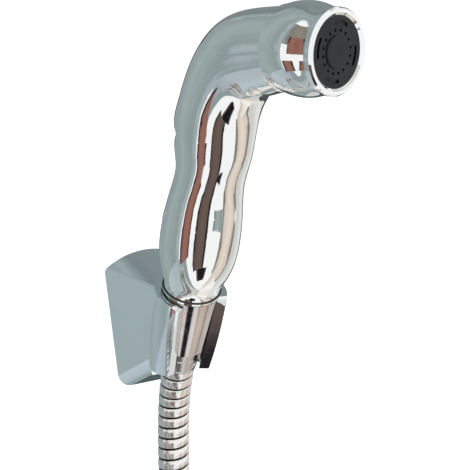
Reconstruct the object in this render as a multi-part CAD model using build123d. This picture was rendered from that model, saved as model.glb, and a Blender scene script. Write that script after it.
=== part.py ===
from build123d import *
import math
import os

# Handheld bidet shower, parked in its wall bracket. Millimetres, +Z up, wall plane at Y = 0.
# The origin is the centre of the bracket's back face, and the front looks towards -Y.

# Pose of the handset in the bracket
lean = 19.0               # handset axis off the vertical, top away from the wall
turn = 20.0               # handset turned about its own axis, head towards +X
inlet_y = -47.0           # centre of the grip's lower end
inlet_z = 30.0

# Wall bracket
wall_half_top = 19.9      # half width of the back face at its shoulders
wall_half_bottom = 14.3
wall_shoulder_z = 26.2
wall_crown_z = 32.8
wall_bottom_z = -31.2
wall_corner_r = 3.0
wall_foot_r = 7.0         # rounding of the two lower corners of the back face
clip_inner_top = 12.05    # clip's inner radius level with the grip's lower end
clip_inner_low = 9.3      # and at the clip's lower end
clip_outer_top = 15.2
clip_outer_mid = 14.95    # the outside is slightly barrelled
clip_outer_low = 13.1
clip_rim_drop = 2.2       # rim of the clip below the grip's lower end
clip_depth = 42.0         # height of the clip along the nut's axis
clip_floor_z = -10.4      # its tips end level
block_depth = 43.2        # depth of the block behind the clip
mouth_apex = 4.7          # the mouth is a wide V that starts ahead of the nut's axis
mouth_spread = 62.0       # half angle of that V
mouth_lean = 1.2          # and its lean against the nut's axis
hose_room_r = 8.6         # channel for the hose below the nut
tip_front = 11.6          # foremost reach of the clip's tips
tip_round = 5.0           # rounding of their upper corners
bracket_skin = 2.8        # wall of the hollow bracket
web_half = 6.5            # half width of the web that takes the screws
screw_r = 2.1
screw_head_r = 4.3
screw_spacing = 24.0
screw_mid_z = 4.0
screw_land = 4.0          # material under the screw head

# Nut, inlet and top of the hose, along the nut's axis
nut_r_top = 11.9
nut_r_bottom = 9.5
nut_length = 31.0
seat_ring_r = 12.3
seat_ring_t = 1.2
thread_r = 10.45          # half of the G 1/2 thread's outer diameter
thread_play = 0.06
nut_thread_depth = 16.4
spigot_up = 14.0          # spigot inside the grip
spigot_down = 11.8        # spigot below the grip
spigot_bore_r = 5.4
washer_t = 2.0
flange_t = 2.4
ferrule_flange_r = 9.6
ferrule_r = 7.35
ferrule_end = 42.0        # lower end of the ferrule, from the grip's lower end
ferrule_bead = 0.45       # height of the crimp beads
ferrule_bore_r = 5.0
hose_r = 7.0

# Grip stations: height, centre towards the back, half width, half depth
grip_stations = [
    (0.0, 0.0, 12.0, 12.0),
    (7.5, 0.0, 13.3, 13.8),
    (19.0, 0.0, 15.3, 16.6),
    (30.0, 0.0, 15.3, 16.7),
    (41.0, 0.0, 14.4, 15.6),
    (50.0, 0.0, 13.5, 14.4),
    (58.0, 0.0, 13.3, 14.5),
    (67.0, 0.5, 13.8, 16.0),
    (74.0, 1.7, 14.3, 17.2),
    (82.0, 1.5, 14.8, 16.7),
]
# Elbow stations: height, centre towards the front, tilt of the section, half width, half depth
elbow_stations = [
    (91.0, -0.3, 9.0, 15.1, 16.2),
    (100.2, 2.2, 24.0, 15.3, 16.3),
    (109.3, 7.2, 42.0, 15.4, 16.4),
    (115.6, 15.4, 58.0, 15.2, 15.9),
]

# Head, along its own axis: distances are measured back from the spray face
head_up = 129.6           # spray face centre above the grip's lower end
head_out = 46.8           # spray face centre in front of the grip's axis
head_tilt = 19.6          # head axis above the square to the grip
neck_back = 23.5          # the neck ends in an oval, a little low on the head's axis
# Neck stations: distance back, drop below the head's axis, half width, half depth
neck_stations = [
    (28.0, 1.65, 15.0, 15.7),
    (neck_back, 0.7, 14.9, 15.3),
]
rim_r = 15.4
rim_t = 2.2
bulge_stations = [(23.5, 15.2), (22.0, 15.5), (19.5, 16.2), (16.5, 16.75), (13.0, 16.95), (9.5, 16.6),
                  (6.5, 15.8), (4.4, 15.1), (3.2, 14.8)]
head_spigot_r = 12.9
head_spigot_back = 6.6
head_spigot_wall = 2.2
face_r = 12.65            # black face inside the rim
lip_t = 1.0
plate_r = 13.6
plate_t = 2.0
plate_play = 0.1
flow_disc_t = 1.8
spray_hole_r = 0.55
spray_hole_circle = 7.5
spray_hole_count = 16
arc_slot_circle = 10.2
arc_slot_width = 1.3
arc_slot_sweep = 40.0
arc_slot_first = 70.0
arc_slot_depth = 0.7
cap_r = 5.9
cap_rise = 0.7
cap_stud_r = 2.2

# Lever in the back of the grip, heights from the grip's lower end
lever_low = 26.0
lever_over_valve = 15.7   # lever's upper end above the valve
lever_half = 11.8
lever_wall = 2.2
lever_gap = 0.35
lever_head_gap = 1.3
lever_skirt_y = 5.2
lever_swing = 5.0
lever_stations = [
    (24.0, 0.0, 15.3, 17.3),
    (29.0, 0.0, 15.3, 17.2),
    (35.0, 0.0, 15.0, 16.5),
    (42.0, 0.0, 14.3, 15.7),
    (50.0, 0.0, 13.5, 14.6),
    (56.0, 0.0, 13.2, 14.7),
    (63.5, 0.0, 13.5, 17.3),
    (69.0, 0.0, 13.9, 16.6),
    (76.0, 0.0, 14.2, 16.2),
]
pocket_floor_y = 1.2
pin_height = 38.0
pin_y = 7.6
pin_r = 1.5
pin_half = 7.2
pin_play = 0.05
lug_half = 4.0
lug_r = 3.4

# Press valve, across the grip
valve_height = 56.0
boss_r = 8.2
boss_y = 6.0
chamber_r = 5.6
chamber_front_y = -12.0
bonnet_in_y = 1.0
bonnet_flange_r = 6.8
bonnet_flange_t = 1.4
bonnet_play = 0.05
stem_r = 1.8
stem_play = 0.05
stem_reach = 0.25         # rest gap between the stem's tip and the lever
seal_r = 3.2
seal_t = 1.4
seat_face_y = -5.6
seat_t = 1.8
seat_bore_r = 2.7
disc_r = 4.2
disc_t = 1.8
disc_rest_gap = 0.02
spring_room = 1.7         # the spring is drawn short by the valve's travel
spring_r = 3.0
spring_wire_r = 0.35
spring_turns = 2.5
water_in_r = 3.0
water_in_y = -8.8
water_out_r = 2.2
water_out_y = -1.4

# Hose: points from the ferrule down to the stored coil, then the coil and its tail
hose_first_run = 13.0
hose_turns = [(-26.9, -37.0), (-26.3, -58.0), (-26.9, -84.0), (-27.3, -111.0)]
coil_entry_y = -27.2
coil_z = -140.0
coil_r = 79.0
coil_turns = 2
coil_pitch = 14.4
coil_wall = 14.2
tail_length = 60.0
end_ferrule_length = 16.0
tie_width = 12.0
tie_wall = 1.2
tie_gap = 0.1

# Nut at the hose's far end
end_nut_flat = 24.0       # across flats
end_nut_height = 15.0
end_nut_bore_play = 0.08
end_thread_depth = 7.6
end_relief_r = 11.0       # wider room for the washer above the thread
end_shoulder = 2.2
end_washer_t = 1.8


def about_x(radius, length, at):
    """Cylinder along X, centred on a point."""
    return Pos(*at) * Rot(0, 90, 0) * Cylinder(radius, length)


def along_y(radius, y_from, y_to, x=0.0, z=0.0):
    """Cylinder along Y between two values of Y."""
    return Pos(x, (y_from + y_to) / 2, z) * Rot(90, 0, 0) * Cylinder(radius, abs(y_to - y_from))


def upright(radius, z_from, z_to, x=0.0, y=0.0):
    """Cylinder along Z between two heights."""
    return Pos(x, y, (z_from + z_to) / 2) * Cylinder(radius, abs(z_to - z_from))


def tube(outer, inner, z_from, z_to):
    """Upright ring between two heights."""
    return upright(outer, z_from, z_to) - upright(inner, z_from - 1, z_to + 1)


def turned(points):
    """Solid of revolution about Z from (radius, height) points."""
    outline = Polyline(*[(r, 0, z) for r, z in points], close=True)
    return revolve(make_face(outline), Axis.Z)


def placed_handset(piece):
    """Moves a piece from the handset's own frame into the bracket."""
    return Pos(0, inlet_y, inlet_z) * Rot(lean, 0, 0) * Rot(0, 0, turn) * piece


def placed_nut(piece):
    """Moves a piece that turns about the nut's axis, without the handset's own turn."""
    return Pos(0, inlet_y, inlet_z) * Rot(lean, 0, 0) * piece


def on_head(piece):
    """Moves a piece from the head's frame, spray face at its origin and spray along +Z."""
    plane = Plane((0, -head_out, head_up), x_dir=(1, 0, 0), z_dir=head_direction())
    return plane.location * piece


def head_direction():
    tilt = math.radians(head_tilt)
    return Vector(0, -math.cos(tilt), math.sin(tilt))


def head_centre(back):
    """Point on the head's axis, at a distance behind the spray face."""
    return Vector(0, -head_out, head_up) - head_direction() * back


def oval(height, back, half_width, half_depth, tilt=0.0):
    """Oval section of the grip. A tilted one faces up and forward."""
    angle = math.radians(tilt)
    plane = Plane((0, back, height), x_dir=(1, 0, 0), z_dir=(0, -math.sin(angle), math.cos(angle)))
    return plane * Ellipse(half_width, half_depth)


def outer_grip():
    """Grip, elbow and neck as one smooth skin."""
    sections = [oval(*station) for station in grip_stations]
    sections += [oval(z, -out, a, b, tilt) for z, out, tilt, a, b in elbow_stations]
    for back, drop, half_width, half_depth in neck_stations:
        neck = Plane(head_centre(back), x_dir=(1, 0, 0), z_dir=head_direction())
        sections.append(neck * Pos(0, -drop) * Ellipse(half_width, half_depth))
    return loft(sections)


def tongue(half, low, high, grow=0.0, head_grow=0.0):
    """Outline of the lever seen from the back: rounded heel, nearly square head."""
    half = half + grow
    low = low - grow
    high = high + head_grow
    outline = Pos(0, (low + high) / 2) * RectangleRounded(2 * half, high - low, 2.5)
    heel_cut = Pos(0, low + half / 2) * Rectangle(2 * half, half)
    heel = Pos(0, low + half) * Circle(half)
    return outline - heel_cut + heel


def lever_block(y_from, y_to, grow=0.0, head_grow=0.0):
    sketch = Plane.XZ * tongue(lever_half, lever_low, valve_height + lever_over_valve, grow, head_grow)
    return Pos(0, y_to, 0) * extrude(sketch, amount=y_to - y_from)


def make_handle_body():
    body = outer_grip()
    direction = head_direction()
    body += on_head(upright(head_spigot_r, -neck_back - 1, -head_spigot_back))
    # recess for the lever, with a boss for the valve and slots for the lever's lug
    recess = lever_block(pocket_floor_y, 30, lever_gap, lever_head_gap)
    boss = along_y(boss_r, pocket_floor_y - 1, boss_y, z=valve_height)
    body -= recess - boss
    cheek_top = pin_y + lug_r - 0.6
    cheek_low = pocket_floor_y - 1
    cheeks = Pos(0, (cheek_low + cheek_top) / 2, pin_height) * Box(
        2 * pin_half + 0.2, cheek_top - cheek_low, 2 * lug_r)
    body += cheeks
    body -= Pos(0, cheek_top, pin_height) * Box(2 * lug_half + 0.6, 2 * (lug_r + pin_r + 2), 2 * lug_r + 2)
    body -= about_x(pin_r, 2 * pin_half + 2, (0, pin_y, pin_height))
    # water way: head, outlet, inlet, valve chamber
    body -= on_head(upright(head_spigot_r - head_spigot_wall, -neck_back + 3, 0))
    meet = (head_out + water_out_y) / direction.Y
    top = head_up + meet * direction.Z
    body -= on_head(upright(water_out_r, meet - 1, -neck_back + 4))
    body -= upright(water_out_r, valve_height, top, y=water_out_y)
    body -= upright(thread_r + thread_play, -1, spigot_up)
    body -= upright(water_in_r, spigot_up - 1, valve_height, y=water_in_y)
    body -= along_y(chamber_r, chamber_front_y, boss_y + 1, z=valve_height)
    return body


def make_lever():
    outer = loft([oval(*station) for station in lever_stations])
    inner = loft([oval(z, back, a - lever_wall, b - lever_wall) for z, back, a, b in lever_stations])
    reach = 2 * lever_stations[0][3]
    lever = outer & lever_block(lever_skirt_y, reach)
    lever -= inner & lever_block(lever_skirt_y - 1, reach, -lever_wall, -lever_wall)
    lever += about_x(lug_r, 2 * lug_half, (0, pin_y, pin_height))
    stalk_y = lever_back_y(pin_height) + lever_wall / 2
    lever += Pos(0, (pin_y + stalk_y) / 2, pin_height) * Box(2 * lug_half, stalk_y - pin_y, 1.4 * lug_r)
    lever -= about_x(pin_r + pin_play, 4 * lug_half, (0, pin_y, pin_height))
    return lever


def lever_back_y(height):
    """Inner face of the lever over the valve, by the stations on both sides of it."""
    pairs = zip(lever_stations, lever_stations[1:])
    for low, high in pairs:
        if low[0] <= height <= high[0]:
            share = (height - low[0]) / (high[0] - low[0])
            return low[3] + share * (high[3] - low[3]) - lever_wall
    return lever_stations[0][3] - lever_wall


def make_lever_pin():
    return about_x(pin_r, 2 * pin_half, (0, pin_y, pin_height))


def make_valve_bonnet():
    bonnet = along_y(chamber_r - bonnet_play, bonnet_in_y, boss_y, z=valve_height)
    flange = Plane.XZ * RegularPolygon(bonnet_flange_r, 6)
    bonnet += Pos(0, boss_y + bonnet_flange_t, valve_height) * extrude(flange, amount=bonnet_flange_t)
    bonnet -= along_y(stem_r + stem_play, -30, 30, z=valve_height)
    bonnet -= along_y(seal_r + bonnet_play, bonnet_in_y - 1, bonnet_in_y + seal_t, z=valve_height)
    return bonnet


def make_stem_seal():
    ring = along_y(seal_r, bonnet_in_y, bonnet_in_y + seal_t - bonnet_play, z=valve_height)
    return ring - along_y(stem_r + stem_play, -30, 30, z=valve_height)


def make_valve_stem():
    tip_y = lever_back_y(valve_height) - stem_reach
    stem = along_y(stem_r, seat_face_y, tip_y, z=valve_height)
    stem = chamfer(stem.edges().sort_by(Axis.Y)[-1], 0.5)
    stem += along_y(1.1, seat_face_y - disc_t - 0.8, seat_face_y, z=valve_height)
    stem += along_y(2.2, seat_face_y - disc_t - disc_rest_gap - 0.8,
                    seat_face_y - disc_t - disc_rest_gap, z=valve_height)
    return stem


def make_valve_disc():
    disc = along_y(disc_r, seat_face_y - disc_rest_gap - disc_t, seat_face_y - disc_rest_gap, z=valve_height)
    return disc - along_y(1.1, -30, 30, z=valve_height)


def make_valve_seat():
    seat = along_y(chamber_r - bonnet_play, seat_face_y, seat_face_y + seat_t, z=valve_height)
    return seat - along_y(seat_bore_r, -30, 30, z=valve_height)


def make_valve_spring():
    free_from = chamber_front_y + spring_room + spring_wire_r
    free_to = seat_face_y - disc_rest_gap - disc_t - spring_wire_r - 0.05
    height = free_to - free_from
    path = Helix(height / spring_turns, height, spring_r)
    start = Plane(path @ 0, x_dir=(0, 0, 1), z_dir=path % 0)
    wire = sweep(start * Circle(spring_wire_r), path=path)
    return Pos(0, free_from, valve_height) * Rot(-90, 0, 0) * wire


def make_head_collar():
    first_back, first_r = bulge_stations[0]
    last_back, last_r = bulge_stations[-1]
    bulge = Spline([(r, 0, -back) for back, r in bulge_stations])
    rest = Polyline([(r, 0, z) for r, z in [
        (last_r, -last_back), (rim_r, -rim_t), (rim_r, -0.5), (rim_r - 0.5, 0.2), (face_r + 0.9, 0.2),
        (face_r, -0.5), (face_r, -lip_t), (plate_r + plate_play, -lip_t),
        (plate_r + plate_play, -head_spigot_back), (head_spigot_r + 0.05, -head_spigot_back),
        (head_spigot_r + 0.05, -first_back), (first_r, -first_back)]])
    return on_head(revolve(make_face(bulge + rest), Axis.Z))


def make_spray_plate():
    plate = upright(face_r - plate_play, -lip_t - plate_t, -0.6)
    plate += upright(plate_r, -lip_t - plate_t, -lip_t)
    holes = PolarLocations(spray_hole_circle, spray_hole_count)
    plate -= [place * upright(spray_hole_r, -9, 9) for place in holes]
    plate -= upright(cap_stud_r + 0.03, -9, 9)
    for i in range(4):
        middle = arc_slot_first + 90 * i
        ring = Circle(arc_slot_circle + arc_slot_width / 2) - Circle(arc_slot_circle - arc_slot_width / 2)
        half = math.radians(arc_slot_sweep / 2)
        reach = 2 * arc_slot_circle
        wedge = make_face(Polyline((0, 0), (reach * math.cos(half), -reach * math.sin(half)),
                                   (reach * math.cos(half), reach * math.sin(half)), close=True))
        slot = extrude(ring & wedge, amount=arc_slot_depth + 1)
        plate -= Rot(0, 0, middle) * Pos(0, 0, -0.6 - arc_slot_depth) * slot
    return on_head(plate)


def make_centre_cap():
    cap = upright(cap_r, -0.6, -0.6 + cap_rise)
    cap = chamfer(cap.edges().sort_by(Axis.Z)[-1], 0.35)
    cap += upright(cap_stud_r, -lip_t - plate_t, -0.6)
    return on_head(cap)


def make_flow_disc():
    top = -lip_t - plate_t
    disc = upright(plate_r - 0.05, top - flow_disc_t, top)
    holes = PolarLocations(spray_hole_circle, spray_hole_count // 2)
    disc -= [place * upright(1.2, -20, 9) for place in holes]
    return on_head(disc)


def make_plate_seal():
    top = -lip_t - plate_t - flow_disc_t
    return on_head(tube(plate_r - 0.1, head_spigot_r - 2.0, -head_spigot_back, top))


def make_seat_ring():
    return placed_nut(tube(seat_ring_r, thread_r + thread_play, -seat_ring_t, 0))


def make_inlet_spigot():
    spigot = upright(thread_r, -spigot_down, spigot_up - 0.1)
    return placed_nut(spigot - upright(spigot_bore_r, -30, 30))


def make_nut_washer():
    return placed_nut(tube(thread_r - 0.6, ferrule_bore_r, -spigot_down - washer_t, -spigot_down))


def nut_radius(depth):
    """Outer radius of the nut's cone at a depth below the grip."""
    return nut_r_top + (nut_r_bottom - nut_r_top) * depth / nut_length


def make_conical_nut():
    top = seat_ring_t
    nut = turned([
        (thread_r + thread_play, -top), (nut_radius(top) - 0.3, -top), (nut_radius(top), -top - 0.5),
        (nut_radius(nut_length - 0.6), -nut_length + 0.6), (nut_r_bottom - 0.6, -nut_length),
        (ferrule_r + 0.15, -nut_length), (ferrule_r + 0.15, -nut_thread_depth),
        (thread_r + thread_play, -nut_thread_depth),
    ])
    return placed_nut(nut)


def make_hose_ferrule():
    top = -spigot_down - washer_t
    low = -ferrule_end
    bead = ferrule_bead
    ferrule = turned([
        (ferrule_bore_r, top), (ferrule_flange_r, top), (ferrule_flange_r, top - flange_t),
        (ferrule_r, top - flange_t), (ferrule_r, low + 7.6), (ferrule_r - bead, low + 7.2),
        (ferrule_r - bead, low + 6.4), (ferrule_r, low + 6.0), (ferrule_r, low + 2.0),
        (ferrule_r - bead, low + 1.6), (ferrule_r - bead, low + 0.8), (ferrule_r, low + 0.4),
        (ferrule_r, low), (ferrule_bore_r, low),
    ])
    return placed_nut(ferrule)


def nut_axis_down():
    angle = math.radians(lean)
    return Vector(0, math.sin(angle), -math.cos(angle))


def hose_exit():
    return Vector(0, inlet_y, inlet_z) + nut_axis_down() * ferrule_end


def hose_points():
    """Corner points of the hanging stretch, down to the coil's entry."""
    points = [hose_exit(), hose_exit() + nut_axis_down() * hose_first_run]
    points += [Vector(0, y, z) for y, z in hose_turns]
    points.append(Vector(0, coil_entry_y, coil_z))
    return points


def bend_radii(points):
    """Each corner's arc takes 0.45 of its shorter run."""
    radii = []
    for before, here, after in zip(points, points[1:], points[2:]):
        first = here - before
        second = after - here
        half_turn = math.radians(first.get_angle(second)) / 2
        radii.append(0.45 * min(first.length, second.length) / math.tan(half_turn))
    return radii


def make_hose():
    points = hose_points()
    radii = bend_radii(points)
    print("hose bend radii", [round(r) for r in radii])
    path = FilletPolyline(*points, radius=radii)
    start = Plane(path @ 0, x_dir=(1, 0, 0), z_dir=path % 0)
    hose = sweep(start * Circle(hose_r), path=path)
    print("hose volume over section times length", hose.volume / (math.pi * hose_r ** 2 * path.length))
    coil_length = coil_turns * math.hypot(2 * math.pi * coil_r, coil_pitch)
    print("whole cord", path.length + coil_length + tail_length)
    return hose


def coil_mid_y():
    return coil_entry_y - coil_turns * coil_pitch / 2


def coil_ring(radial, across):
    """Ring of the stored turns, its axis along Y."""
    outer = along_y(coil_r + radial, coil_mid_y() - across, coil_mid_y() + across)
    inner = along_y(coil_r - radial, coil_mid_y() - across - 1, coil_mid_y() + across + 1)
    return Pos(-coil_r, 0, coil_z) * (outer - inner)


def make_hose_coil():
    ring = coil_ring(hose_r, coil_wall)
    return fillet(ring.edges(), hose_r * 0.6)


def make_coil_tie():
    band = coil_ring(hose_r + tie_gap + tie_wall, coil_wall + tie_gap + tie_wall)
    band -= coil_ring(hose_r + tie_gap, coil_wall + tie_gap)
    slab = Pos(-2 * coil_r, coil_mid_y(), coil_z) * Box(4 * hose_r, 4 * coil_wall, tie_width)
    return band & slab


def tail_y():
    return coil_entry_y - coil_turns * coil_pitch


def make_hose_tail():
    return upright(hose_r, coil_z - tail_length, coil_z, y=tail_y())


def placed_end(piece):
    """Moves a piece whose top is the end of the hose's tail."""
    return Pos(0, tail_y(), coil_z - tail_length) * piece


def make_end_ferrule():
    length = end_ferrule_length
    bead = ferrule_bead
    return placed_end(turned([
        (ferrule_bore_r, 0), (ferrule_r, 0), (ferrule_r, -0.4), (ferrule_r - bead, -0.8),
        (ferrule_r - bead, -1.6), (ferrule_r, -2.0), (ferrule_r, -length + flange_t),
        (ferrule_flange_r, -length + flange_t), (ferrule_flange_r, -length), (ferrule_bore_r, -length),
    ]))


def end_nut_top():
    """Upper face of the end nut: its shoulder clears the ferrule's flange."""
    return -end_ferrule_length + flange_t + 0.3 + end_shoulder


def make_end_nut():
    top = end_nut_top()
    low = top - end_nut_height
    hexagon = RegularPolygon(end_nut_flat / 2, 6, major_radius=False)
    nut = Pos(0, 0, low) * extrude(hexagon, amount=end_nut_height)
    cone = Pos(0, 0, (top + low) / 2) * Cylinder(end_nut_flat / 2 + 0.9, end_nut_height)
    cone = chamfer(cone.edges().filter_by(GeomType.CIRCLE), 0.9)
    nut = nut & cone
    nut -= upright(ferrule_r + end_nut_bore_play, low - 1, top + 1)
    nut -= upright(thread_r + thread_play, low - 1, top - end_shoulder)
    nut -= upright(end_relief_r, low + end_thread_depth, top - end_shoulder)
    return placed_end(nut)


def make_end_washer():
    top = -end_ferrule_length - 0.3
    return placed_end(tube(thread_r - 0.05, ferrule_bore_r, top - end_washer_t, top))


def clip_plane():
    """Plane through the nut's axis, square to the mouth. Its Y runs up the axis."""
    angle = math.radians(lean)
    return Plane((0, inlet_y, inlet_z), x_dir=(1, 0, 0), z_dir=(0, -math.cos(angle), -math.sin(angle)))


def clip_bore():
    """Cone about the nut's axis that the nut sits in, with the hose's channel below it."""
    slope = (clip_inner_low - clip_inner_top) / clip_depth
    over = 6.0
    return turned([(0, over), (clip_inner_top - slope * over, over), (clip_inner_low, -clip_depth),
                   (hose_room_r, -clip_depth - 2), (hose_room_r, -2 * clip_depth), (0, -2 * clip_depth)])


def clip_barrel():
    """Outside of the clip, slightly barrelled."""
    side = ThreePointArc((clip_outer_top, 0, 0), (clip_outer_mid, 0, -clip_depth / 2),
                         (clip_outer_low, 0, -clip_depth))
    foot = clip_depth + 3
    rest = Polyline((clip_outer_low, 0, -clip_depth), (clip_outer_low - 0.6, 0, -foot), (0, 0, -foot),
                    (0, 0, 0), (clip_outer_top, 0, 0))
    return revolve(make_face(side + rest), Axis.Z)


def wall_outline(inset=0.0):
    """Back outline of the bracket: arched top, sides that run in downwards, rounded feet."""
    low = wall_bottom_z + inset
    shoulder = wall_shoulder_z - inset
    crown = wall_crown_z - inset
    top = wall_half_top - inset
    bottom = wall_half_bottom - inset
    arch = ThreePointArc((top, shoulder), (0, crown), (-top, shoulder))
    rest = Polyline((-top, shoulder), (-bottom, low), (bottom, low), (top, shoulder))
    return make_face(arch + rest)


def clip_outline(inset=0.0):
    """Outline of the block in the upright plane through the nut's axis."""
    low = -block_depth + inset
    high = -inset
    top = clip_outer_top - inset
    bottom = clip_outer_low - inset
    arch = ThreePointArc((top, high), (0, high + 2.0), (-top, high))
    rest = Polyline((-top, high), (-bottom, low), (bottom, low), (top, high))
    return make_face(arch + rest)


def block_edges(block, upper):
    """The block's four long edges, the upper or the lower two."""
    middle_y = inlet_y / 2
    long_edges = [e for e in block.edges() if e.bounding_box().min.Y < middle_y - 8
                  and e.bounding_box().max.Y > middle_y + 8]
    return [e for e in long_edges if (e.center().Z > 0) == upper]


def mouth():
    """Wide V that opens the clip to the front."""
    half = math.radians(mouth_spread)
    reach = 4 * clip_outer_top
    vee = make_face(Polyline((0, 0), (reach * math.sin(half), -reach * math.cos(half)),
                             (-reach * math.sin(half), -reach * math.cos(half)), close=True))
    prism = Pos(0, 0, -2 * clip_depth) * extrude(vee, amount=4 * clip_depth)
    return Pos(0, -mouth_apex, -clip_depth / 2) * Rot(mouth_lean, 0, 0) * prism


def tip_corner():
    """What the rounding takes off the upper front corners of the clip's tips."""
    top = -clip_rim_drop
    corner = Pos(0, -tip_front - 20 + tip_round, top - tip_round + 20) * Box(80, 40, 40)
    keep = about_x(tip_round, 100, (0, -tip_front + tip_round, top - tip_round))
    return corner - keep


def make_wall_bracket():
    block = loft([Plane.XZ * wall_outline(), clip_plane() * clip_outline()], ruled=True)
    block = fillet(block_edges(block, True), wall_corner_r)
    block = fillet(block_edges(block, False), wall_foot_r)
    block += placed_nut(clip_barrel())
    floor_y = -axis_reach(clip_floor_z)
    block -= Pos(0, floor_y - 30, clip_floor_z - 20) * Box(80, 60, 40)
    block -= placed_nut(Pos(0, 0, 40 - clip_rim_drop) * Box(80, 60, 80))
    block -= placed_nut(clip_bore())
    block -= placed_nut(mouth())
    block -= placed_nut(tip_corner())
    block -= hollow_back()
    for side in (-1, 1):
        z = screw_mid_z + side * screw_spacing / 2
        block -= along_y(screw_r, 1, -60, z=z)
        block -= along_y(screw_head_r, -screw_land, -axis_reach(z), z=z)
    return block


def hollow_back():
    """Two pockets in the back face, on both sides of the web that takes the screws."""
    hollow = loft([Pos(0, 1, 0) * Plane.XZ * wall_outline(bracket_skin),
                   clip_plane() * clip_outline(bracket_skin)], ruled=True)
    hollow -= placed_nut(upright(clip_outer_top, -2 * clip_depth, clip_depth))
    hollow -= placed_nut(Pos(0, -40, 0) * Box(200, 80, 300))
    return hollow - Box(2 * web_half, 200, 200)


def axis_reach(z):
    """Distance of the nut's axis from the wall at a height."""
    return -inlet_y - (inlet_z - z) * math.tan(math.radians(lean))


def write(name, shape):
    export_step(shape, os.path.join("parts", name + ".step"))


def main():
    os.makedirs("parts", exist_ok=True)
    in_handset = {
        "handle_body": make_handle_body,
        "lever": make_lever,
        "lever_pin": make_lever_pin,
        "valve_bonnet": make_valve_bonnet,
        "stem_seal": make_stem_seal,
        "valve_stem": make_valve_stem,
        "valve_disc": make_valve_disc,
        "valve_seat": make_valve_seat,
        "valve_spring": make_valve_spring,
        "head_collar": make_head_collar,
        "spray_plate": make_spray_plate,
        "centre_cap": make_centre_cap,
        "flow_disc": make_flow_disc,
        "plate_seal": make_plate_seal,
    }
    for name, make in in_handset.items():
        write(name, placed_handset(make()))
    in_place = {
        "wall_bracket": make_wall_bracket,
        "seat_ring": make_seat_ring,
        "inlet_spigot": make_inlet_spigot,
        "nut_washer": make_nut_washer,
        "conical_nut": make_conical_nut,
        "hose_ferrule": make_hose_ferrule,
        "hose": make_hose,
        "hose_coil": make_hose_coil,
        "hose_tail": make_hose_tail,
        "coil_tie": make_coil_tie,
        "end_ferrule": make_end_ferrule,
        "end_nut": make_end_nut,
        "end_washer": make_end_washer,
    }
    for name, make in in_place.items():
        write(name, make())


main()
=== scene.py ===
import bmesh
import bpy
import math
import numpy as np
from mathutils import Matrix, Vector


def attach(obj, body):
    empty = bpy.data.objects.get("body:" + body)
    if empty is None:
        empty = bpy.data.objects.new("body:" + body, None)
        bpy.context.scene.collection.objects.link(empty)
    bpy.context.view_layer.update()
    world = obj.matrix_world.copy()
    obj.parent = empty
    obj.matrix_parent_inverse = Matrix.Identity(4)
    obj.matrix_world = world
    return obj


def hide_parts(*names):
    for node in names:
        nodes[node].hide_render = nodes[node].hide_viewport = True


# Handheld bidet shower parked in its wall bracket, with its strip-wound steel hose.
# Metres, +Z up, the wall is at Y = 0 and the front looks towards -Y.

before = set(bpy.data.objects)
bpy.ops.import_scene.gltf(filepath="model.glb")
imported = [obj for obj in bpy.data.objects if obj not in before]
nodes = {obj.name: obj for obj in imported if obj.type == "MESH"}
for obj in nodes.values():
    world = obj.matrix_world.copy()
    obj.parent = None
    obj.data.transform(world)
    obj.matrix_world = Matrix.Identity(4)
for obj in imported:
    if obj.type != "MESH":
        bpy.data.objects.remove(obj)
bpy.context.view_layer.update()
scene = bpy.context.scene
scene.view_settings.view_transform = "Standard"

MM = 0.001


def add_object(name, data):
    thing = bpy.data.objects.new(name, data)
    scene.collection.objects.link(thing)
    return thing


# The photo's viewpoint: in front of the part, to its left and a little above it
camera_lens_mm = 99.6
camera_sensor_mm = 36.0
camera_place = (-0.2228, -0.5067, 0.2093)
camera_tilt = math.radians(72.9)
camera_heading = math.radians(-27.87)


def set_camera():
    lens = bpy.data.cameras.new("photo_camera")
    lens.lens = camera_lens_mm
    lens.sensor_width = camera_sensor_mm
    camera = add_object("photo_camera", lens)
    camera.location = camera_place
    camera.rotation_euler = (camera_tilt, 0.0, camera_heading)
    scene.camera = camera


set_camera()


# The hose: its route, then the strip-wound tube that follows it

hose_radius = 7.0 * MM
strip_pitch = 5.3 * MM
coil_radius = 79.0 * MM
coil_pitch = 14.4 * MM
coil_turns = 2
points_per_turn = 16
spline_order = 3
spline_steps = 20

# Millimetres, from the nut down to the coil, and from the coil down to the end nut
hanging_points = [
    (0, -33.326, -9.712), (0, -29.094, -22.004), (0, -26.9, -37.0), (0, -26.3, -58.0),
    (0, -26.9, -84.0), (0, -27.3, -111.0), (0, -27.2, -140.0),
]
tail_points = [(0, -56.0, -140.0), (0, -56.0, -170.0), (0, -56.0, -200.0)]


def coil_points():
    """Control points of the stored turns. They stand a little outside the turns they draw."""
    entry = Vector(hanging_points[-1]) * MM
    step = 2 * math.pi / points_per_turn
    reach = coil_radius / math.cos(step / 2)
    points = []
    for k in range(coil_turns * points_per_turn):
        angle = (k + 0.5) * step
        points.append(Vector((
            -coil_radius + reach * math.cos(angle),
            entry.y - coil_pitch * angle / (2 * math.pi),
            entry.z - reach * math.sin(angle),
        )))
    return points


def hose_line():
    """Points along the hose's smooth centre line, read from its NURBS spline."""
    points = [Vector(p) * MM for p in hanging_points]
    points += coil_points()
    points += [Vector(p) * MM for p in tail_points]
    curve = bpy.data.curves.new("hose_route", "CURVE")
    curve.dimensions = "3D"
    curve.resolution_u = spline_steps
    spline = curve.splines.new("NURBS")
    spline.points.add(len(points) - 1)
    for control, place in zip(spline.points, points):
        control.co = (*place, 1.0)
    spline.order_u = spline_order
    spline.use_endpoint_u = True
    route = add_object("hose_route", curve)
    bpy.context.view_layer.update()
    line = bpy.data.meshes.new_from_object(route)
    read = [v.co.copy() for v in line.vertices]
    bpy.data.objects.remove(route)
    bpy.data.meshes.remove(line)
    return read


def line_length(points):
    return sum((b - a).length for a, b in zip(points, points[1:]))


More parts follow.
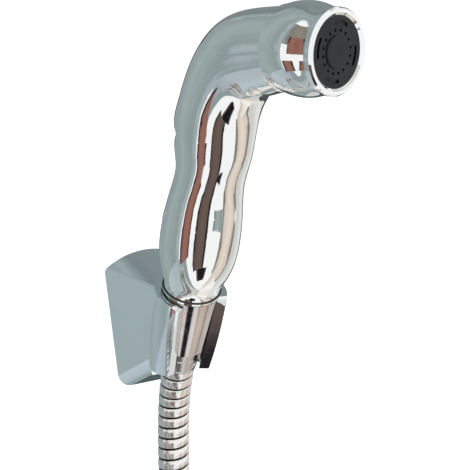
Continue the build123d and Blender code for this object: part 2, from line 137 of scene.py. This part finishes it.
# One pitch of the strip: share of the pitch, and distance from the hose's middle in
# millimetres. The groove between two turns comes first.
strip_profile = [
    (0.000, 6.30), (0.085, 6.32), (0.115, 6.70), (0.22, 6.90), (0.46, 7.00),
    (0.74, 6.98), (0.915, 6.86), (0.950, 6.30), (1.000, 6.30),
]
steps_round = 32
spare_turns = 2
turns_cut_off = 1.5
weld_distance = 1e-6
cut_distance = 1e-7
crease_angle = math.radians(38)


def wound_strip(length):
    """Straight strip-wound tube along Z: one turn of the strip, spun and then repeated."""
    bm = bmesh.new()
    ring = [bm.verts.new((r * MM, 0.0, share * strip_pitch)) for share, r in strip_profile]
    edges = [bm.edges.new(pair) for pair in zip(ring, ring[1:])]
    bmesh.ops.spin(bm, geom=ring + edges, cent=(0, 0, 0), axis=(0, 0, 1), angle=2 * math.pi,
                   dvec=(0, 0, strip_pitch / steps_round), steps=steps_round, use_merge=False)
    turn = bpy.data.meshes.new("strip_turn")
    bm.to_mesh(turn)
    bm.free()
    one = add_object("strip_turn", turn)
    repeat = one.modifiers.new("turns", "ARRAY")
    repeat.count = math.ceil(length / strip_pitch) + spare_turns
    repeat.use_relative_offset = False
    repeat.use_constant_offset = True
    repeat.constant_offset_displace = (0, 0, strip_pitch)
    repeat.use_merge_vertices = True
    repeat.merge_threshold = weld_distance
    bpy.context.view_layer.update()
    depsgraph = bpy.context.evaluated_depsgraph_get()
    wound = bpy.data.meshes.new_from_object(one.evaluated_get(depsgraph))
    bpy.data.objects.remove(one)
    bm = bmesh.new()
    bm.from_mesh(wound)
    bmesh.ops.translate(bm, vec=(0, 0, -turns_cut_off * strip_pitch), verts=bm.verts)
    for height, outward in ((0.0, -1), (length, 1)):
        everything = bm.verts[:] + bm.edges[:] + bm.faces[:]
        cut = bmesh.ops.bisect_plane(bm, geom=everything, dist=cut_distance,
                                     plane_co=(0, 0, height), plane_no=(0, 0, outward),
                                     clear_outer=True)
        rim = [e for e in cut["geom_cut"] if isinstance(e, bmesh.types.BMEdge)]
        bmesh.ops.edgeloop_fill(bm, edges=rim)
    bmesh.ops.recalc_face_normals(bm, faces=bm.faces)
    bm.to_mesh(wound)
    bm.free()
    return wound


def bend_along(mesh, line):
    """Lays a straight tube along the line, with no twist of its own.

    The groove attribute keeps how deep each point lies under the hose's outside, in mm.
    """
    points = np.array(line)
    runs = np.diff(points, axis=0)
    lengths = np.linalg.norm(runs, axis=1)
    reached = np.concatenate([[0.0], np.cumsum(lengths)])
    tangents = runs / lengths[:, None]
    tangents = np.vstack([tangents[:1], (tangents[:-1] + tangents[1:]) / 2, tangents[-1:]])
    tangents /= np.linalg.norm(tangents, axis=1)[:, None]
    side = np.array([1.0, 0.0, 0.0])
    sides = []
    for tangent in tangents:
        side = side - tangent * side.dot(tangent)
        side /= np.linalg.norm(side)
        sides.append(side)
    sides = np.array(sides)
    others = np.cross(tangents, sides)
    places = np.zeros(len(mesh.vertices) * 3)
    mesh.vertices.foreach_get("co", places)
    places = places.reshape(-1, 3)
    middle = [np.interp(places[:, 2], reached, points[:, k]) for k in range(3)]
    across = [np.interp(places[:, 2], reached, sides[:, k]) for k in range(3)]
    other = [np.interp(places[:, 2], reached, others[:, k]) for k in range(3)]
    depth = (hose_radius - np.hypot(places[:, 0], places[:, 1])) / MM
    groove = mesh.attributes.new("groove", "FLOAT", "POINT")
    groove.data.foreach_set("value", depth.astype(np.float32))
    bent = np.array(middle) + places[:, 0] * np.array(across) + places[:, 1] * np.array(other)
    mesh.vertices.foreach_set("co", bent.T.astype(np.float32).ravel())
    mesh.update()


def make_hose():
    line = hose_line()
    length = line_length(line)
    mesh = wound_strip(length)
    bend_along(mesh, line)
    mesh.shade_smooth()
    mesh.set_sharp_from_angle(angle=crease_angle)
    hose = add_object("strip_wound_hose", mesh)
    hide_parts("hose", "hose_coil", "hose_tail")
    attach(hose, "fixed")
    return hose


hose = make_hose()


# Two thin gaskets that show as dark lines above and below the chrome seat ring

seat_place = Vector((0, -47.0, 30.0)) * MM
seat_lean = math.radians(19.0)
gasket_round = 64
gasket_section = 10
gasket_thickness = 0.7 * MM
grip_gasket_radius = 12.15 * MM
nut_gasket_radius = 11.95 * MM
nut_gasket_height = -1.3 * MM


def make_gasket(name, ring_radius, height):
    """Rubber ring about the nut's leaning axis, at a height above the grip's lower face."""
    bm = bmesh.new()
    section = bmesh.ops.create_circle(bm, segments=gasket_section,
                                      radius=gasket_thickness / 2)["verts"]
    bmesh.ops.rotate(bm, verts=section, cent=(0, 0, 0),
                     matrix=Matrix.Rotation(math.pi / 2, 3, "X"))
    bmesh.ops.translate(bm, vec=(ring_radius, 0, height), verts=section)
    bmesh.ops.spin(bm, geom=section + bm.edges[:], cent=(0, 0, 0), axis=(0, 0, 1),
                   angle=2 * math.pi, steps=gasket_round, use_merge=True)
    bmesh.ops.recalc_face_normals(bm, faces=bm.faces)
    bmesh.ops.rotate(bm, verts=bm.verts, cent=(0, 0, 0),
                     matrix=Matrix.Rotation(seat_lean, 3, "X"))
    bmesh.ops.translate(bm, vec=seat_place, verts=bm.verts)
    mesh = bpy.data.meshes.new(name)
    bm.to_mesh(mesh)
    bm.free()
    mesh.shade_smooth()
    gasket = add_object(name, mesh)
    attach(gasket, "fixed")
    return gasket


gaskets = [
    make_gasket("grip_gasket", grip_gasket_radius, height=0.0),
    make_gasket("nut_gasket", nut_gasket_radius, height=nut_gasket_height),
]


# Finishes

# The part of the noise's range that nearly all its values lie in
noise_low = 0.3
noise_high = 0.7

# Scales of the noise patterns: the higher, the finer
chrome_cloud = 55.0
chrome_haze = 420.0
chrome_swell = 90.0
metal_grain = 900.0
mould_cloud = 160.0
mould_pore = 2600.0
strip_grain = 700.0

# Depth in the hose's groove in millimetres, and the colour there: painted shade that darkens the
# steel with depth, so the groove between two turns shows dark
groove_painted_shade = [
    (0.0, (0.94, 0.915, 0.885)), (0.22, (0.80, 0.775, 0.75)), (0.55, (0.03, 0.028, 0.026)),
]


def new_material(name):
    material = bpy.data.materials.new(name)
    material.use_nodes = True
    tree = material.node_tree
    return material, tree, tree.nodes["Principled BSDF"]


def object_noise(tree, scale, detail=2.0, rough=0.5, stretch=None):
    """Noise in the object's own space, stretched by a Mapping where a direction matters."""
    place = tree.nodes.new("ShaderNodeTexCoord")
    noise = tree.nodes.new("ShaderNodeTexNoise")
    noise.inputs["Scale"].default_value = scale
    noise.inputs["Detail"].default_value = detail
    noise.inputs["Roughness"].default_value = rough
    if stretch is None:
        tree.links.new(place.outputs["Object"], noise.inputs["Vector"])
    else:
        mapping = tree.nodes.new("ShaderNodeMapping")
        mapping.inputs["Scale"].default_value = stretch
        tree.links.new(place.outputs["Object"], mapping.inputs["Vector"])
        tree.links.new(mapping.outputs["Vector"], noise.inputs["Vector"])
    return noise.outputs["Fac"]


def spread(tree, value, low, high):
    """Turns a noise value into a value between low and high."""
    span = tree.nodes.new("ShaderNodeMapRange")
    span.inputs["From Min"].default_value = noise_low
    span.inputs["From Max"].default_value = noise_high
    span.inputs["To Min"].default_value = low
    span.inputs["To Max"].default_value = high
    tree.links.new(value, span.inputs["Value"])
    return span.outputs["Result"]


def colour_ramp(tree, value, stops):
    """Turns a value into a colour. The stops are positions and colours, in rising order."""
    ramp = tree.nodes.new("ShaderNodeValToRGB")
    elements = ramp.color_ramp.elements
    for element, (position, colour) in zip(elements, (stops[0], stops[-1])):
        element.position = position
        element.color = (*colour, 1)
    for position, colour in stops[1:-1]:
        elements.new(position).color = (*colour, 1)
    tree.links.new(value, ramp.inputs["Fac"])
    return ramp.outputs["Color"]


def tint(tree, value, dark, light):
    """Turns a noise value into a colour between two."""
    return colour_ramp(tree, value, [(noise_low, dark), (noise_high, light)])


def relief(tree, height, strength, distance):
    """Turns a noise value into a bump, at most the distance high in metres."""
    bump = tree.nodes.new("ShaderNodeBump")
    bump.inputs["Strength"].default_value = strength
    bump.inputs["Distance"].default_value = distance
    tree.links.new(height, bump.inputs["Height"])
    return bump.outputs["Normal"]


def chrome(name, dark, light, rough_low, rough_high, waviness):
    """Plated metal: nearly even colour, faint polishing haze and a slow waviness."""
    material, tree, shader = new_material(name)
    shader.inputs["Metallic"].default_value = 1.0
    slow = object_noise(tree, chrome_cloud, detail=3.0)
    tree.links.new(tint(tree, slow, dark, light), shader.inputs["Base Color"])
    haze = object_noise(tree, chrome_haze, detail=4.0, rough=0.6)
    tree.links.new(spread(tree, haze, rough_low, rough_high), shader.inputs["Roughness"])
    swell = object_noise(tree, chrome_swell, detail=1.0)
    tree.links.new(relief(tree, swell, strength=1.0, distance=waviness), shader.inputs["Normal"])
    return material


def plain_metal(name, dark, light, rough_low, rough_high):
    """Turned or drawn metal with a fine grain, short along Z."""
    material, tree, shader = new_material(name)
    shader.inputs["Metallic"].default_value = 1.0
    fine = object_noise(tree, metal_grain, detail=3.0, rough=0.6, stretch=(1, 1, 6))
    tree.links.new(tint(tree, fine, dark, light), shader.inputs["Base Color"])
    tree.links.new(spread(tree, fine, rough_low, rough_high), shader.inputs["Roughness"])
    tree.links.new(relief(tree, fine, strength=0.25, distance=0.00002), shader.inputs["Normal"])
    return material


def moulded(name, dark, light, rough_low, rough_high, pore, shine=0.5):
    """Moulded plastic or rubber with a fine pore."""
    material, tree, shader = new_material(name)
    shader.inputs["Specular IOR Level"].default_value = shine
    slow = object_noise(tree, mould_cloud, detail=3.0)
    fine = object_noise(tree, mould_pore, detail=2.0)
    tree.links.new(tint(tree, slow, dark, light), shader.inputs["Base Color"])
    tree.links.new(spread(tree, slow, rough_low, rough_high), shader.inputs["Roughness"])
    tree.links.new(relief(tree, fine, strength=0.4, distance=pore), shader.inputs["Normal"])
    return material


def strip_steel():
    """Hose steel: warm grey, rolled grain, and painted shade that turns it dark in the groove
    where two strips meet.
    """
    material, tree, shader = new_material("strip_steel")
    shader.inputs["Metallic"].default_value = 1.0
    grain = object_noise(tree, strip_grain, detail=4.0, rough=0.6)
    depth = tree.nodes.new("ShaderNodeAttribute")
    depth.attribute_name = "groove"
    # Painted shade: the base colour goes from pale to near black with depth in the groove
    colour = colour_ramp(tree, depth.outputs["Fac"], groove_painted_shade)
    tree.links.new(colour, shader.inputs["Base Color"])
    tree.links.new(spread(tree, grain, low=0.20, high=0.27), shader.inputs["Roughness"])
    tree.links.new(relief(tree, grain, strength=0.02, distance=0.00001), shader.inputs["Normal"])
    return material


finishes = {
    "handset_chrome": chrome(
        "handset_chrome", dark=(0.87, 0.89, 0.88), light=(0.92, 0.93, 0.92),
        rough_low=0.03, rough_high=0.06, waviness=0.00002),
    "nut_chrome": chrome(
        "nut_chrome", dark=(0.60, 0.565, 0.55), light=(0.70, 0.67, 0.65),
        rough_low=0.08, rough_high=0.16, waviness=0.00003),
    "bracket_chrome": chrome(
        "bracket_chrome", dark=(0.90, 0.95, 0.98), light=(0.94, 0.98, 1.0),
        rough_low=0.06, rough_high=0.12, waviness=0.00002),
    "black_plastic": moulded(
        "black_plastic", dark=(0.007, 0.008, 0.010), light=(0.013, 0.015, 0.018),
        rough_low=0.24, rough_high=0.36, pore=0.00001, shine=0.22),
    "white_plastic": moulded(
        "white_plastic", dark=(0.72, 0.72, 0.70), light=(0.80, 0.80, 0.78),
        rough_low=0.35, rough_high=0.5, pore=0.00002),
    "rubber": moulded(
        "rubber", dark=(0.02, 0.02, 0.02), light=(0.035, 0.034, 0.033),
        rough_low=0.6, rough_high=0.8, pore=0.00003),
    "brass": plain_metal(
        "brass", dark=(0.60, 0.42, 0.16), light=(0.74, 0.55, 0.25),
        rough_low=0.2, rough_high=0.35),
    "steel": plain_metal(
        "steel", dark=(0.55, 0.54, 0.53), light=(0.68, 0.67, 0.66),
        rough_low=0.18, rough_high=0.3),
    "strip_steel": strip_steel(),
}
dressed = {
    "handset_chrome": ["handle_body", "lever", "seat_ring", "head_collar", "end_nut"],
    "nut_chrome": ["conical_nut"],
    "bracket_chrome": ["wall_bracket"],
    "black_plastic": ["spray_plate", "centre_cap", "coil_tie"],
    "white_plastic": ["flow_disc"],
    "rubber": ["plate_seal", "nut_washer", "stem_seal", "valve_disc", "end_washer"],
    "brass": ["inlet_spigot", "valve_bonnet", "valve_seat"],
    "steel": ["lever_pin", "valve_stem", "valve_spring", "hose_ferrule", "end_ferrule"],
    "strip_steel": ["hose", "hose_coil", "hose_tail"],
}


def dress(thing, material):
    thing.data.materials.clear()
    thing.data.materials.append(material)


for finish, wearers in dressed.items():
    for name in wearers:
        dress(nodes[name], finishes[finish])
dress(hose, finishes["strip_steel"])
for gasket in gaskets:
    dress(gasket, finishes["rubber"])


# Studio: pale floor, white surroundings, soft lamps and reflector cards

surroundings_colour = (0.95, 0.97, 1.0)
surroundings_strength = 0.55
floor_reach = 3.0
floor_height = -0.2275
floor_colour = (0.86, 0.86, 0.85)
floor_glow = 0.6


def white_for_shiny_rays(tree, plain, white):
    """Camera, glossy and transmission rays see white, all others the plain shader."""
    path = tree.nodes.new("ShaderNodeLightPath")
    first = tree.nodes.new("ShaderNodeMath")
    first.operation = "MAXIMUM"
    second = tree.nodes.new("ShaderNodeMath")
    second.operation = "MAXIMUM"
    tree.links.new(path.outputs["Is Camera Ray"], first.inputs[0])
    tree.links.new(path.outputs["Is Glossy Ray"], first.inputs[1])
    tree.links.new(first.outputs["Value"], second.inputs[0])
    tree.links.new(path.outputs["Is Transmission Ray"], second.inputs[1])
    mix = tree.nodes.new("ShaderNodeMixShader")
    tree.links.new(second.outputs["Value"], mix.inputs["Fac"])
    tree.links.new(plain, mix.inputs[1])
    tree.links.new(white, mix.inputs[2])
    return mix.outputs["Shader"]


def set_world():
    world = bpy.data.worlds.new("studio")
    scene.world = world
    world.use_nodes = True
    tree = world.node_tree
    plain = tree.nodes["Background"]
    plain.inputs["Color"].default_value = (*surroundings_colour, 1)
    plain.inputs["Strength"].default_value = surroundings_strength
    white = tree.nodes.new("ShaderNodeBackground")
    white.inputs["Color"].default_value = (1, 1, 1, 1)
    white.inputs["Strength"].default_value = 1.0
    mixed = white_for_shiny_rays(tree, plain.outputs["Background"], white.outputs["Background"])
    tree.links.new(mixed, tree.nodes["World Output"].inputs["Surface"])


def make_floor():
    """White to the camera, yet it keeps the shadow. Reflections see past it to the low cards."""
    bm = bmesh.new()
    bmesh.ops.create_grid(bm, x_segments=1, y_segments=1, size=floor_reach)
    bmesh.ops.translate(bm, vec=(0, 0, floor_height), verts=bm.verts)
    mesh = bpy.data.meshes.new("floor")
    bm.to_mesh(mesh)
    bm.free()
    floor = add_object("floor", mesh)
    floor.visible_glossy = False
    material, tree, shader = new_material("floor_paper")
    shader.inputs["Base Color"].default_value = (*floor_colour, 1)
    shader.inputs["Roughness"].default_value = 0.9
    glow = tree.nodes.new("ShaderNodeEmission")
    glow.inputs["Color"].default_value = (1, 1, 1, 1)
    glow.inputs["Strength"].default_value = floor_glow
    lift = tree.nodes.new("ShaderNodeAddShader")
    tree.links.new(shader.outputs["BSDF"], lift.inputs[0])
    tree.links.new(glow.outputs["Emission"], lift.inputs[1])
    mixed = white_for_shiny_rays(tree, shader.outputs["BSDF"], lift.outputs["Shader"])
    tree.links.new(mixed, tree.nodes["Material Output"].inputs["Surface"])
    dress(floor, material)


# Reflector cards: far curved panels that only reflections show. They give the chrome its
# coloured streaks, and their places were chosen for the photo's viewpoint.
card_centre = Vector((0.01, -0.07, 0.09))
card_row_degrees = 8
card_column_degrees = 6
card_cloud = 1.4
card_wander = 0.07
card_middle_lift = 1.25
rim_outer = 0.08
rim_inner = 0.16

grey_green = (0.29, 0.345, 0.35)
slate = (0.20, 0.235, 0.24)
pale_green = (0.40, 0.46, 0.485)
warm_grey = (0.24, 0.215, 0.18)
red_brown = (0.27, 0.125, 0.10)
dark_brown = (0.125, 0.088, 0.074)
near_black = (0.010, 0.010, 0.014)
dark_teal = (0.06, 0.08, 0.08)
beige = (0.69, 0.60, 0.53)
light_grey = (0.66, 0.66, 0.64)
blush = (0.86, 0.78, 0.74)

# After each name: distance in metres, the bearings of its two sides (clockwise from +Y seen from
# above) and the heights of its lower and upper edges over the horizon in degrees, its colour, and
# the colour that runs along both sides.
cards = [
    ("left_card", 4.0, 283, 368, -36, 80, grey_green, pale_green),
    ("left_lower_card", 3.9, 262, 390, -90, -36, pale_green, grey_green),
    ("back_card", 3.8, 0, 62, 3, 80, slate, grey_green),
    ("top_left_card", 3.7, 222, 283, 14, 60, warm_grey, grey_green),
    ("top_right_card", 3.6, 70, 178, 24, 62, light_grey, light_grey),
    ("right_card", 3.5, 28, 97, -62, -18, light_grey, light_grey),
    ("right_low_card", 3.4, 30, 150, -90, -62, blush, beige),
    ("beige_card", 3.3, 97, 157, -64, -28, beige, warm_grey),
    ("collar_card", 3.2, 250, 268, -4, 32, red_brown, near_black),
    ("edge_card", 3.1, 6, 50, -39, 5, dark_teal, dark_teal),
    ("brown_card", 3.0, 206, 244, -58, -22, dark_brown, near_black),
    ("brown_low_card", 2.9, 190, 232, -74, -58, near_black, dark_brown),
    ("disc_card", 2.7, 158, 190, -40, -36, grey_green, slate),
    ("red_card", 2.6, 257, 280, -41, -18, red_brown, near_black),
]


def card_glow(name, middle, rim):
    """Glowing card: its colour wanders a little and turns to the rim colour at its sides."""
    material, tree, shader = new_material(name)
    tree.nodes.remove(shader)
    glow = tree.nodes.new("ShaderNodeEmission")
    across = tree.nodes.new("ShaderNodeAttribute")
    across.attribute_name = "across"
    cloud = object_noise(tree, card_cloud, detail=3.0)
    wander = tree.nodes.new("ShaderNodeMath")
    wander.operation = "ADD"
    tree.links.new(across.outputs["Fac"], wander.inputs[0])
    tree.links.new(spread(tree, cloud, -card_wander, card_wander), wander.inputs[1])
    brightest = [min(1.0, card_middle_lift * c) for c in middle]
    colour = colour_ramp(tree, wander.outputs["Value"], [
        (rim_outer, rim), (rim_inner, middle), (0.5, brightest),
        (1 - rim_inner, middle), (1 - rim_outer, rim),
    ])
    tree.links.new(colour, glow.inputs["Color"])
    tree.links.new(glow.outputs["Emission"], tree.nodes["Material Output"].inputs["Surface"])
    return material


def make_card(name, radius, first, last, low, high, middle, rim):
    """Strip of a sphere between two bearings and two heights, spun from its upright edge."""
    rows = max(2, math.ceil((high - low) / card_row_degrees))
    columns = max(2, math.ceil((last - first) / card_column_degrees))
    bm = bmesh.new()
    edge = []
    for k in range(rows + 1):
        rise = math.radians(low + (high - low) * k / rows)
        edge.append(bm.verts.new((0, radius * math.cos(rise), radius * math.sin(rise))))
    edges = [bm.edges.new(pair) for pair in zip(edge, edge[1:])]
    bmesh.ops.spin(bm, geom=edge + edges, cent=(0, 0, 0), axis=(0, 0, 1), steps=columns,
                   angle=-math.radians(last - first), use_merge=False)
    across = bm.verts.layers.float.new("across")
    for v in bm.verts:
        v[across] = math.degrees(math.atan2(v.co.x, v.co.y)) % 360 / (last - first)
    bmesh.ops.rotate(bm, verts=bm.verts, cent=(0, 0, 0),
                     matrix=Matrix.Rotation(-math.radians(first), 3, "Z"))
    bmesh.ops.translate(bm, vec=card_centre, verts=bm.verts)
    mesh = bpy.data.meshes.new(name)
    bm.to_mesh(mesh)
    bm.free()
    card = add_object(name, mesh)
    card.visible_camera = False
    card.visible_diffuse = False
    card.visible_transmission = False
    card.visible_shadow = False
    dress(card, card_glow(name, middle, rim))


lamp_aim = Vector((0, -0.05, 0.05))


def soft_lamp(name, place, width, height, power, colour):
    lamp = bpy.data.lights.new(name, "AREA")
    lamp.shape = "RECTANGLE"
    lamp.size = width
    lamp.size_y = height
    lamp.energy = power
    lamp.color = colour
    holder = add_object(name, lamp)
    holder.visible_glossy = False
    holder.location = place
    holder.rotation_euler = (lamp_aim - Vector(place)).to_track_quat("-Z", "Y").to_euler()


set_world()
make_floor()
for card in cards:
    make_card(*card)
soft_lamp("key", place=(0.9, -1.3, 1.1), width=0.5, height=0.9, power=16.0,
          colour=(1, 0.98, 0.95))
soft_lamp("fill", place=(-1.5, -0.6, 0.7), width=0.8, height=0.8, power=9.0,
          colour=(0.95, 0.98, 1))
